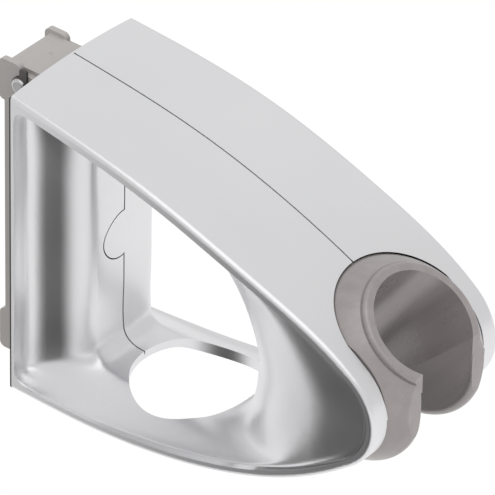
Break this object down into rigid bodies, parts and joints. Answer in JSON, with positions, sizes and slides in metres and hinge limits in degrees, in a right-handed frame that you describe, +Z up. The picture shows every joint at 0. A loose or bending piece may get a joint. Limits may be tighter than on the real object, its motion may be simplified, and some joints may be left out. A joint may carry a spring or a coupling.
{
  "type": "hand shower holder",
  "caption": "Wall-mounted hand shower holder: hollow wedge-shaped arm open from side to side, with a tilting clip for the hose cone and a hooked bracket behind.",
  "frame": {"origin": "middle of the gasket's rear face, which lies on the wall or panel", "axes": "+Y into the wall, the arm projects along -Y, +Z up, +X to the right along the wall"},
  "size_m": [0.0496, 0.128, 0.087],
  "materials": {
    "housing": "satin silver",
    "clip": "satin warm grey",
    "bracket": "matt grey",
    "steel": "plain",
    "dark_steel": "blued",
    "bright": "bright",
    "washer": "plain",
    "gasket": "matt"
  },
  "bodies": {
    "housing": {"left_shell": "housing", "right_shell": "housing", "pivot_pin_left": "steel", "pivot_pin_right": "steel", "bracket_screw_1": "steel", "bracket_screw_2": "steel", "bracket_screw_3": "steel", "bracket_screw_4": "steel", "wall_bracket": "bracket", "rim_gasket": "gasket", "lock_leaf": "dark_steel", "lock_screw": "bright", "lock_nut": "steel", "seam_dowel_front": "steel", "seam_dowel_rear": "steel"},
    "clip": {"cone_clip": "clip", "friction_washer_left": "washer", "friction_washer_right": "washer"}
  },
  "joints": [
    {"name": "clip_tilt", "type": "hinge", "parent": "housing", "child": "clip", "pos_m": [0, -0.0942, -0.0011], "axis": [1, 0, 0], "range_deg": [-15, 15]}
  ]
}
